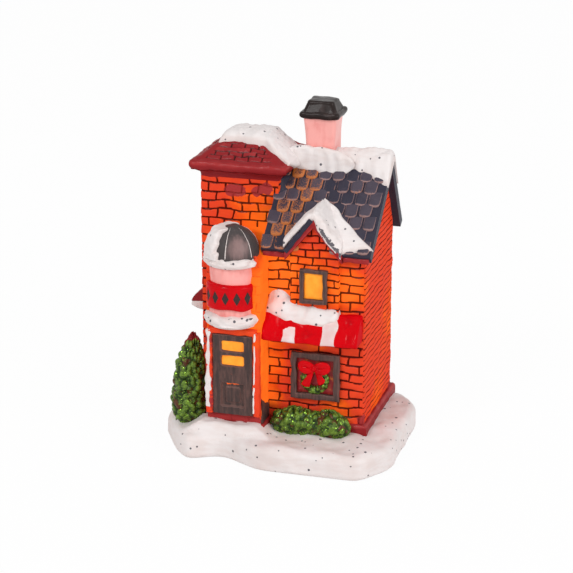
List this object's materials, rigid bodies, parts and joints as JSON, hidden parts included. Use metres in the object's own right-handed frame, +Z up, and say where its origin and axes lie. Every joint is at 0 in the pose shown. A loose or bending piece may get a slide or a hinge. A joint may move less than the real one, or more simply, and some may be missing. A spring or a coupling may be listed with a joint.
{
  "type": "ceramic christmas village house",
  "caption": "Snow-covered ceramic village house with tower, shingled roof, dormer, chimney, domed oriel and striped awning, lit from inside by a push-in coin-cell light.",
  "frame": {"origin": "on the surface it stands on, under the middle of the snow base", "axes": "+Z up, -Y out of the front with the door and shop window, +X to the right seen from the front"},
  "size_m": [0.076, 0.06, 0.1068],
  "materials": {
    "brick": "translucent orange-red glaze over pressed brick courses",
    "tower_tiles": "dark crimson glaze",
    "slates": "dark blue-grey glaze",
    "snow": "rough white slip",
    "pale_pink": "thin pale pink glaze",
    "cap_black": "glossy black-brown glaze",
    "dome_grey": "glossy dark grey glaze",
    "sign_red": "bright red glaze",
    "awning_stripes": "red and white painted stripes",
    "joinery": "charcoal-brown glaze",
    "amber_panes": "thin translucent amber glaze",
    "foliage": "green glitter paint",
    "light_shell": "moulded white",
    "grip": "black",
    "steel": "nickel plated",
    "board": "green solder mask",
    "lamp": "warm clear lens",
    "knob": "moulded black",
    "spring_brass": "bright strip"
  },
  "bodies": {
    "house": {"house_walls": "brick", "dormer_wall": "brick", "tower_roof": "tower_tiles", "dormer_roof": "tower_tiles", "side_hood": "tower_tiles", "main_roof": "slates", "ground_base": "snow", "roof_snow": "snow", "tower_snow": "snow", "dormer_snow": "snow", "awning_snow": "snow", "dome_snow": "snow", "oriel_ledge": "snow", "oriel_rim": "snow", "door_surround": "snow", "hood_lip_snow": "snow", "chimney_stack": "pale_pink", "oriel_drum": "pale_pink", "chimney_cap": "cap_black", "oriel_dome": "dome_grey", "sign_band": "sign_red", "bow": "sign_red", "awning": "awning_stripes", "door": "joinery", "dormer_window_frame": "joinery", "shop_window_frame": "joinery", "door_panes": "amber_panes", "dormer_window_pane": "amber_panes", "shop_window_pane": "amber_panes", "fir_tree": "foliage", "shrubs": "foliage", "wreath": "foliage"},
    "light_unit": {"light_plate": "light_shell", "light_cup": "light_shell", "grip_ring": "grip", "plate_screws": "steel", "circuit_board": "board", "led": "lamp", "led_legs": "steel", "switch_case": "steel", "coin_cell": "steel", "contact_minus": "spring_brass", "contact_plus": "spring_brass"},
    "battery_cover": {"battery_cover": "light_shell"},
    "switch_knob": {"switch_knob": "knob"}
  },
  "joints": [
    {"name": "light_pull", "type": "slide", "parent": "house", "child": "light_unit", "axis": [0, 0, -1], "range_m": [0, 0.03]},
    {"name": "cover_twist", "type": "hinge", "parent": "light_unit", "child": "battery_cover", "pos_m": [-0.0003, 0.0085, 0], "axis": [0, 0, 1], "range_deg": [0, 40]},
    {"name": "switch_slide", "type": "slide", "parent": "light_unit", "child": "switch_knob", "axis": [0, 1, 0], "range_m": [0, 0.0024]}
  ]
}
